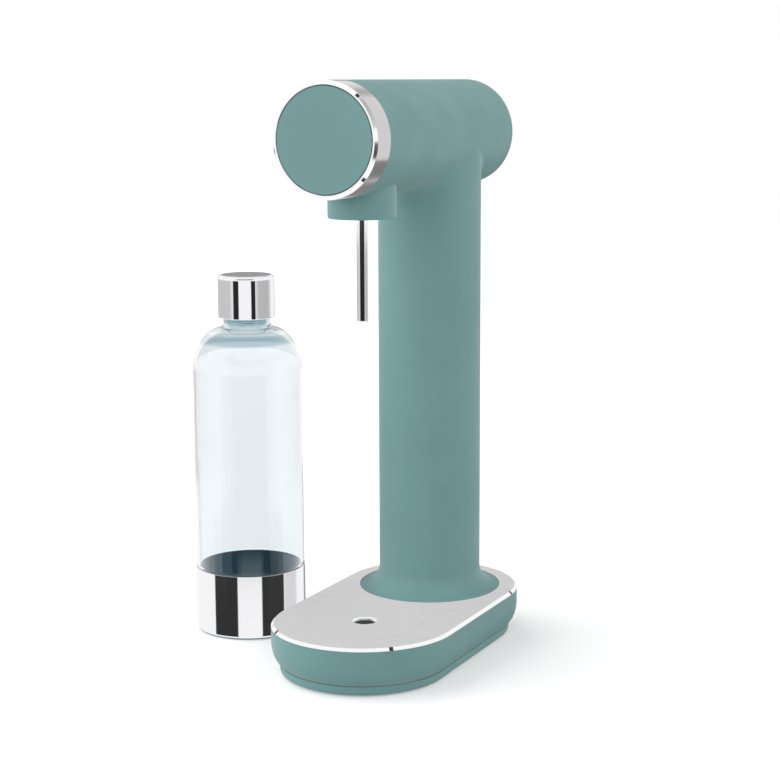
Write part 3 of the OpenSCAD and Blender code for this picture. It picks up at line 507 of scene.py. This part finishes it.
def revolve(name, profile, axis, segments):
    # Turns a profile of (radius, height) points in mm, from axis to axis; a point on the axis stays one point
    work = bmesh.new()
    rings = []
    for radius, height in profile:
        count = segments if radius else 1
        rings.append([work.verts.new(turnedPoint(axis, radius, height, 2 * math.pi * k / segments))
                      for k in range(count)])
    for lower, upper in zip(rings, rings[1:]):
        for k in range(segments):
            n = (k + 1) % segments
            corners = [lower[k % len(lower)], lower[n % len(lower)],
                       upper[n % len(upper)], upper[k % len(upper)]]
            corners = list(dict.fromkeys(corners))
            if len(corners) > 2:
                work.faces.new(corners)
    return finishMesh(name, work)


# Clear bottle, one moulding from its foot in the steel cup to its mouth
bodyBox, shoulderBox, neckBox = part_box("bottle_body"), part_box("bottle_shoulder"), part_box("bottle_neck")
bottle = {
    "bodyRadius": (bodyBox[1].x - bodyBox[0].x) / 2 / mm,
    "footRadius": 41.75,
    "footHeight": bodyBox[0].z / mm,
    "footRound": 9.0,
    "floor": 3.0,
    "cupTop": bottleCup[1].z / mm,
    "rimStep": 1.0,
    "shoulderStart": shoulderBox[0].z / mm,
    "shoulderEnd": shoulderBox[1].z / mm,
    "neckRadius": (neckBox[1].x - neckBox[0].x) / 2 / mm,
    "mouthHeight": neckBox[1].z / mm,
    "mouthRound": 0.8,
    "sweepFrom": 76.0,  # degrees up the shoulder where it starts to sweep into the neck
    "sweepRise": 4.0,
    "wall": 2.0,
    "neckWall": 2.8,
    "shoulderWall": 3.0,
    "segments": 160,
    "footSteps": 12, "domeSteps": 36, "sweepSteps": 8, "innerSteps": 40,
    "supportGap": 0.25, "longRun": 2.5,
}


def bottleProfile(b):
    rise = b["shoulderEnd"] - b["shoulderStart"]
    innerRadius = b["bodyRadius"] - b["wall"]
    mouthRadius = b["neckRadius"] - b["neckWall"]
    innerRound = b["footRound"] - b["wall"]
    innerFoot = b["footRadius"] - b["wall"]
    floorTop = b["footHeight"] + b["floor"]
    dome = arcPoints((b["neckRadius"], b["shoulderStart"]),
                     (b["bodyRadius"] - b["neckRadius"], rise), 0, b["sweepFrom"], b["domeSteps"])
    corner = (b["neckRadius"], b["shoulderEnd"])
    end = (b["neckRadius"], b["shoulderEnd"] + b["sweepRise"])
    sweep = []
    for k in range(1, b["sweepSteps"] + 1):
        t = k / b["sweepSteps"]
        sweep.append(tuple((1 - t) ** 2 * p + 2 * t * (1 - t) * q + t * t * r
                           for p, q, r in zip(dome[-1], corner, end)))
    return (
        [(0, b["footHeight"])]
        + arcPoints((b["footRadius"] - b["footRound"], b["footHeight"] + b["footRound"]),
                    (b["footRound"], b["footRound"]), -90, 0, b["footSteps"])
        + [(b["footRadius"], b["cupTop"]), (b["bodyRadius"], b["cupTop"] + b["rimStep"])]
        + dome + sweep
        + [(b["neckRadius"], b["mouthHeight"] - b["mouthRound"]),
           (b["neckRadius"] - b["mouthRound"], b["mouthHeight"]), (mouthRadius, b["mouthHeight"])]
        + arcPoints((mouthRadius, b["shoulderStart"]),
                    (innerRadius - mouthRadius, rise - b["shoulderWall"]), 90, 0, b["innerSteps"])
        + [(innerRadius, b["cupTop"] + 2 * b["rimStep"]), (innerFoot, b["cupTop"])]
        + arcPoints((innerFoot - innerRound, floorTop + innerRound),
                    (innerRound, innerRound), 0, -90, b["footSteps"])
        + [(0, floorTop)]
    )


bottleOutline = addSupports(bottleProfile(bottle), bottle["supportGap"], bottle["longRun"])
bottleMesh = revolve("bottleGlass", bottleOutline, bottleAxis, bottle["segments"])
glass = makeObject("bottleGlass", bottleMesh, clearPlastic, "bottle")
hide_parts("bottle_body", "bottle_shoulder", "bottle_neck")
print("bottle made")

# Screw thread round the neck, under the cap
thread = {
    # Lengths in mm; the shares are of half the ridge's width
    "low": 252.0, "turns": 2.2, "pitch": 5.0, "ridge": 0.7, "sunk": 0.3,
    "half": 1.1, "rootShare": 1.3, "crestShare": 0.45, "steps": 96, "fadeSteps": 12,
}


def makeThread(t):
    work = bmesh.new()
    sections = []
    inner = bottle["neckRadius"] - t["sunk"]
    rootHalf, crestHalf = t["half"] * t["rootShare"], t["half"] * t["crestShare"]
    count = round(t["turns"] * t["steps"])
    for i in range(count + 1):
        angle = 2 * math.pi * i / t["steps"]
        level = t["low"] + t["pitch"] * i / t["steps"]
        fade = min(1.0, min(i, count - i) / t["fadeSteps"])
        outer = bottle["neckRadius"] + t["ridge"] * fade
        corners = [(inner, level - rootHalf), (outer, level - crestHalf),
                   (outer, level + crestHalf), (inner, level + rootHalf)]
        sections.append([work.verts.new(turnedPoint(bottleAxis, *corner, angle)) for corner in corners])
    joinSections(work, sections)
    return finishMesh("neckThread", work)


makeObject("neckThread", makeThread(thread), clearPlastic, "bottle")
print("thread made")

# Spring under the plunger's head, built at rest; the real one is pressed flat as the plunger goes down
springLow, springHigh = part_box("plunger_spring")
spring = {
    "wire": 0.4,  # radius of the wire
    "turns": 3, "steps": 36, "sides": 10, "fixedEnd": 374.4, "stroke": 2.4,
}


def makeSpring(s):
    middle = (springLow + springHigh) / 2
    radius = (springHigh.x - springLow.x) / 2 / mm - s["wire"]
    first, last = springLow.z / mm + s["wire"], springHigh.z / mm - s["wire"]
    count = s["turns"] * s["steps"]
    work = bmesh.new()
    sections = []
    for i in range(count + 1):
        angle = 2 * math.pi * i / s["steps"]
        level = first + (last - first) * i / count
        section = []
        for k in range(s["sides"]):
            side = 2 * math.pi * k / s["sides"]
            point = turnedPoint(middle, radius + s["wire"] * math.cos(side),
                                level + s["wire"] * math.sin(side), angle)
            section.append(work.verts.new(point))
        sections.append(section)
    joinSections(work, sections)
    return finishMesh("plungerSpring", work), (middle.x, middle.y, s["fixedEnd"] * mm)


springMesh, springFoot = makeSpring(spring)
coil = makeObject("plungerSpring", springMesh, plainMaterials["inner_steel"], "machine")
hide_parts("plunger_spring")
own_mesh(coil)
print("spring made")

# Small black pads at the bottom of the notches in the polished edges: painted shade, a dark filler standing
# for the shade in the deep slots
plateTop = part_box("top_plate")[1].z / mm
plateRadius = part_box("top_plate")[1].x / mm
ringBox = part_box("dial_ring")
ringRadius = (ringBox[1].x - ringBox[0].x) / 2 / mm
ringFront = ringBox[0].y / mm
headAxis = (ringBox[0].z + ringBox[1].z) / 2 / mm
pads = {
    # Lengths in mm; plate turns go from straight ahead to each side, ring turns from the right upwards
    "width": 2.9, "inset": 0.25,
    "plateDepth": 2.6, "plateChamfer": 2.0, "plateThickness": 2.1, "plateTurns": (43.0, 93.5),
    "ringDepth": 1.85, "ringChamfer": 1.8, "ringThickness": 1.75, "ringTurns": (49.5, -41.0, -168.5),
    "softEdge": 0.15, "softSteps": 2,
}


def makePads(name, blocks, finish, body):
    # Each block is a placing matrix and a closed (x, z) section in mm, pulled along its own y
    work = bmesh.new()
    half = pads["width"] / 2
    for place, section in blocks:
        joinSections(work, [[work.verts.new(place @ Vector((x * mm, side * half * mm, z * mm)))
                             for x, z in section] for side in (-1, 1)])
    piece = makeObject(name, finishMesh(name, work, smooth=False), finish, body)
    soften = piece.modifiers.new("softEdge", "BEVEL")
    soften.width = pads["softEdge"] * mm
    soften.segments = pads["softSteps"]


def notchSection(edge, depth, chamfer, thickness, inset):
    # A block under a 45 degree chamfer, its top a little sunk; x outwards, z up, from the top edge
    return [(edge - depth, -thickness), (edge - inset, -thickness), (edge - inset, -chamfer - inset / 2),
            (edge - chamfer - inset / 2, -inset), (edge - depth, -inset)]


plateBlocks = []
for side in (-1, 1):
    for centreY, turn in ((trayCentre.y, pads["plateTurns"][0]), (0.0, pads["plateTurns"][1])):
        heading = Matrix.Rotation(math.radians(side * turn - 90), 4, "Z")
        place = Matrix.Translation((0, centreY, plateTop * mm)) @ heading
        plateBlocks.append((place, notchSection(plateRadius, pads["plateDepth"], pads["plateChamfer"],
                                                pads["plateThickness"], pads["inset"])))
makePads("plateNotchShadePads", plateBlocks, plainMaterials["rubber"], "machine")

ringBlocks = []
for turn in pads["ringTurns"]:
    # Section x points outwards from the dial's axis, and section z towards the front
    outward = Vector((math.cos(math.radians(turn)), 0, math.sin(math.radians(turn))))
    front = Vector((0, -1, 0))
    across = front.cross(outward)
    place = Matrix((outward, across, front)).transposed().to_4x4()
    place.translation = Vector((0, ringFront * mm, headAxis * mm))
    ringBlocks.append((place, notchSection(ringRadius, pads["ringDepth"], pads["ringChamfer"],
                                           pads["ringThickness"], pads["inset"])))
makePads("dialNotchShadePads", ringBlocks, plainMaterials["rubber"], "dial")
print("notch pads made")

# Soft blend where the head grows out of the column: a strip of a ball that rolls along both, in mm
blend = {"radius": 14.0, "columnRadius": 39.3, "around": 144, "across": 12}


def makeBlend(b):
    columnRadius = b["columnRadius"]
    headLow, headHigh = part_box("head_casing")
    headRadius = (headHigh.x - headLow.x) / 2 / mm
    work = bmesh.new()
    rows = []
    for i in range(b["around"]):
        angle = 2 * math.pi * i / b["around"]
        wide, high = columnRadius + b["radius"], headRadius + b["radius"]
        centre = Vector((wide * math.sin(angle), -wide * math.cos(angle), 0))
        drop = math.sqrt(high ** 2 - centre.x ** 2)
        centre.z = headAxis - drop
        onColumn = Vector((centre.x * columnRadius / wide, centre.y * columnRadius / wide, centre.z))
        onHead = Vector((centre.x * headRadius / high, centre.y, headAxis - drop * headRadius / high))
        first, last = (onColumn - centre).normalized(), (onHead - centre).normalized()
        row = []
        for k in range(b["across"] + 1):
            ray = first.slerp(last, k / b["across"])
            row.append(work.verts.new((centre + ray * b["radius"]) * mm))
        rows.append(row)
    for i, row in enumerate(rows):
        after = rows[(i + 1) % len(rows)]
        for k in range(b["across"]):
            work.faces.new([row[k], after[k], after[k + 1], row[k + 1]])
    return finishMesh("headBlend", work, outward=False)


softBlend = makeObject("headBlend", makeBlend(blend), paint, "machine")
print("blend made")

# Camera, fitted to the photograph
view = {
    "place": (0.5933, -1.2617, 0.4322), "down": 9.78, "azimuth": 25.03,
    "sensor": 36.0, "lens": 84.03, "shiftX": -0.0568,
}
cameraData = bpy.data.cameras.new("photoCamera")
camera = bpy.data.objects.new("photoCamera", cameraData)
bpy.context.scene.collection.objects.link(camera)
camera.location = view["place"]
camera.rotation_euler = (math.radians(90 - view["down"]), 0, math.radians(view["azimuth"]))
cameraData.sensor_width = view["sensor"]
cameraData.lens = view["lens"]
cameraData.shift_x = view["shiftX"]
bpy.context.scene.camera = camera

# Floor, studio sky and lamps
studio = {
    "floorSize": 8.0, "floorCells": 8, "floorColour": (0.93, 0.93, 0.93), "floorRoughness": 0.7,
    "floorGlow": 0.24, "floorBounce": (0.55, 0.55, 0.55),
    # Even light on matt surfaces: azimuth, height, half width and strength of each soft patch
    "patches": [
        (-60, 6, 40, 1.15), (-30, 6, 45, 1.95), (25, 6, 50, 0.7), (112, 6, 45, 1.6),
        (75, 10, 35, 0.5), (-90, 45, 50, 2.2), (60, 45, 50, 0.7), (130, 45, 50, 0.45),
    ],
    # Room that shows through the bottle, duller above and below these heights
    "steepThrough": (0.3, 0.42, 0.48), "steepFrom": 14.0, "steepTo": 32.0,
    # Room that polished steel mirrors, and its panels: left, right, bottom and top in degrees,
    # how bright each is, and how soft its left and right sides are
    "gloss": 1.0,
    "panels": [
        (-15, 65, 15.0, 60.0, 0.42, 8.0), (-178, -138, 24.0, 50.0, 0.55, 6.0),
        (-178, -30, -8.8, -5.0, 0.6, 20.0), (72, 142, -8.8, -5.0, 0.5, 20.0),
        (-176, -128, 3.0, 10.6, 0.33, 1.2),
        (105, 142, -20.0, -13.8, 0.72, 8.0), (-179, -142, -40.0, -12.0, 0.3, 8.0),
        (150, 179, -40.0, -18.0, 0.3, 8.0),
        (-51.7, 2.0, -26.0, -13.5, 0.035, 1.2), (53.2, 103.9, -26.0, -13.5, 0.035, 1.2),
        (-24.0, 68.0, -15.0, -3.4, 0.02, 1.2),
    ],
    "heightEdge": 0.6,
}


def makeFloor():
    work = bmesh.new()
    cells = studio["floorCells"]
    bmesh.ops.create_grid(work, x_segments=cells, y_segments=cells, size=studio["floorSize"] / 2)
    mesh = finishMesh("studioFloor", work, smooth=False, outward=False)
    floor = bpy.data.objects.new("studioFloor", mesh)
    bpy.context.scene.collection.objects.link(floor)
    material, tree, shader = startMaterial("studioFloor", {
        "Roughness": studio["floorRoughness"], "Emission Color": (1, 1, 1, 1)})
    # The floor glows for the camera and through the bottle, and throws back less light than it shows
    path = addNode(tree, "LightPath").outputs
    seen = calculate(tree, "MAXIMUM", path["Is Camera Ray"], path["Is Transmission Ray"])
    plug(tree, shader.inputs["Emission Strength"], calculate(tree, "MULTIPLY", seen, studio["floorGlow"]))
    plug(tree, shader.inputs["Base Color"],
         mixColour(tree, path["Is Diffuse Ray"], (*studio["floorColour"], 1), (*studio["floorBounce"], 1)))
    mesh.materials.append(material)
    floor.visible_glossy = False


def headingVector(azimuth, height):
    # Azimuth in degrees from straight ahead to the right, height in degrees above level
    a, e = math.radians(azimuth), math.radians(height)
    return Vector((math.sin(a) * math.cos(e), -math.cos(a) * math.cos(e), math.sin(e)))


# A light on the camera's side that only the polished cap mirrors, as a bright band down its middle
capBox = {"azimuth": 25.0, "height": -6.9, "away": 2.4, "width": 2.26, "tall": 0.3, "strength": 2.1}


def makeCapBox(c):
    target = bpy.data.collections.new("capAlone")
    target.objects.link(nodes["cap_shell"])
    data = bpy.data.lights.new("capBox", "AREA")
    data.shape = "RECTANGLE"
    data.size, data.size_y, data.energy = c["width"], c["tall"], c["strength"]
    box = bpy.data.objects.new("capBox", data)
    bpy.context.scene.collection.objects.link(box)
    capLow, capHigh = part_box("cap_shell")
    back = headingVector(c["azimuth"], c["height"])
    box.location = (capLow + capHigh) / 2 + back * c["away"]
    box.rotation_euler = (-back).to_track_quat("-Z", "Y").to_euler()
    box.visible_camera = False
    box.light_linking.receiver_collection = target


def makeSky():
    world = bpy.data.worlds.new("studioSky")
    bpy.context.scene.world = world
    world.use_nodes = True
    tree = world.node_tree
    direction = addNode(tree, "TexCoord").outputs["Generated"]
    parts = addNode(tree, "SeparateXYZ")
    plug(tree, parts.inputs[0], direction)
    x, y, z = parts.outputs
    towards = calculate(tree, "MULTIPLY", y, -1.0)
    azimuth = calculate(tree, "DEGREES", calculate(tree, "ARCTAN2", x, towards))
    height = calculate(tree, "DEGREES", calculate(tree, "ARCSINE", z))

    # Polish sees a bright room with panels of other brightness
    gloss = studio["gloss"]
    for left, right, bottom, top, shade, soft in studio["panels"]:
        inside = calculate(tree, "MULTIPLY", between(tree, azimuth, left, right, soft),
                           between(tree, height, bottom, top, studio["heightEdge"]))
        gloss = rescale(tree, inside, 0.0, 1.0, gloss, shade)

    # Light that bends steeply through the bottle comes from duller parts of the room
    steep = rescale(tree, calculate(tree, "ABSOLUTE", height), studio["steepFrom"], studio["steepTo"])
    through = mixColour(tree, steep, (1, 1, 1, 1), (*studio["steepThrough"], 1))

    # Matt surfaces see soft patches of light
    even = 0.0
    for patchAzimuth, patchHeight, width, strength in studio["patches"]:
        facing = vectorMath(tree, "DOT_PRODUCT", direction, headingVector(patchAzimuth, patchHeight))
        patch = rescale(tree, facing, math.cos(math.radians(width)), 1.0, 0.0, strength)
        even = calculate(tree, "ADD", even, patch)

    path = addNode(tree, "LightPath").outputs
    colour = mixColour(tree, path["Is Camera Ray"], greyColour(tree, even), (1, 1, 1, 1))
    colour = mixColour(tree, path["Is Glossy Ray"], colour, greyColour(tree, gloss))
    colour = mixColour(tree, path["Is Transmission Ray"], colour, through)
    plug(tree, tree.nodes["Background"].inputs["Color"], colour)


# The photograph's polished steel mirrors the room alone, so the machine itself doesn't show in it
for piece in (*nodes.values(), softBlend, glass):
    piece.visible_glossy = False

makeFloor()
makeSky()
makeCapBox(capBox)
bpy.context.scene.view_settings.view_transform = "Standard"
print("studio made")
